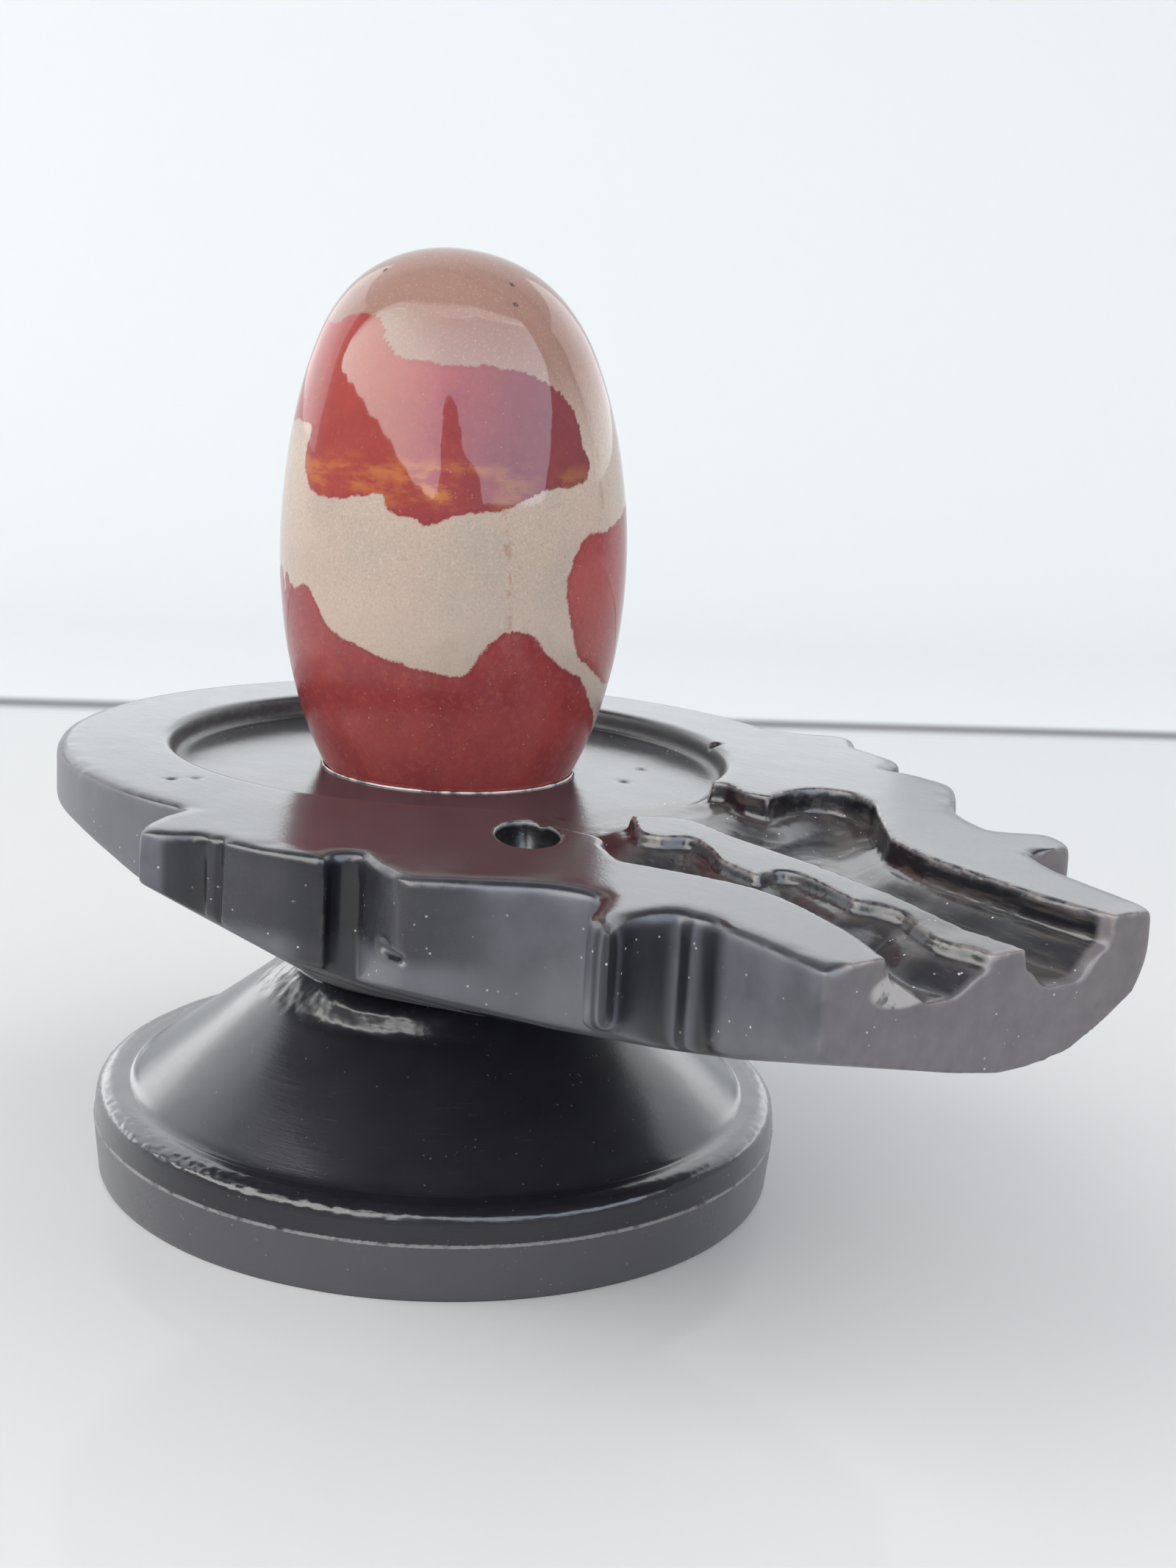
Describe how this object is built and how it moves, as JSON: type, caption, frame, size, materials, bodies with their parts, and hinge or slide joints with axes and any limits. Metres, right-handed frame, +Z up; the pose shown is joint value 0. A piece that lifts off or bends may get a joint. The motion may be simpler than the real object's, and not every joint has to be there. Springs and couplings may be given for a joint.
{
  "type": "shiva lingam stone on stand",
  "caption": "Polished egg-shaped river stone in red and tan, seated in the dish of a carved black stone plate with a lobed pouring spout on a turned pedestal.",
  "frame": {"origin": "middle of the round underside of the pedestal, on the table", "axes": "+Z up along the pedestal, +X along the pouring spout, +Y to the side of the spout's open channel"},
  "size_m": [0.1422, 0.1093, 0.1167],
  "materials": {
    "black_stone": "satin, waxed",
    "red_stone": "polished"
  },
  "bodies": {
    "root": {"pedestal": "black_stone", "yoni_plate": "black_stone", "stone": "red_stone"}
  },
  "joints": []
}
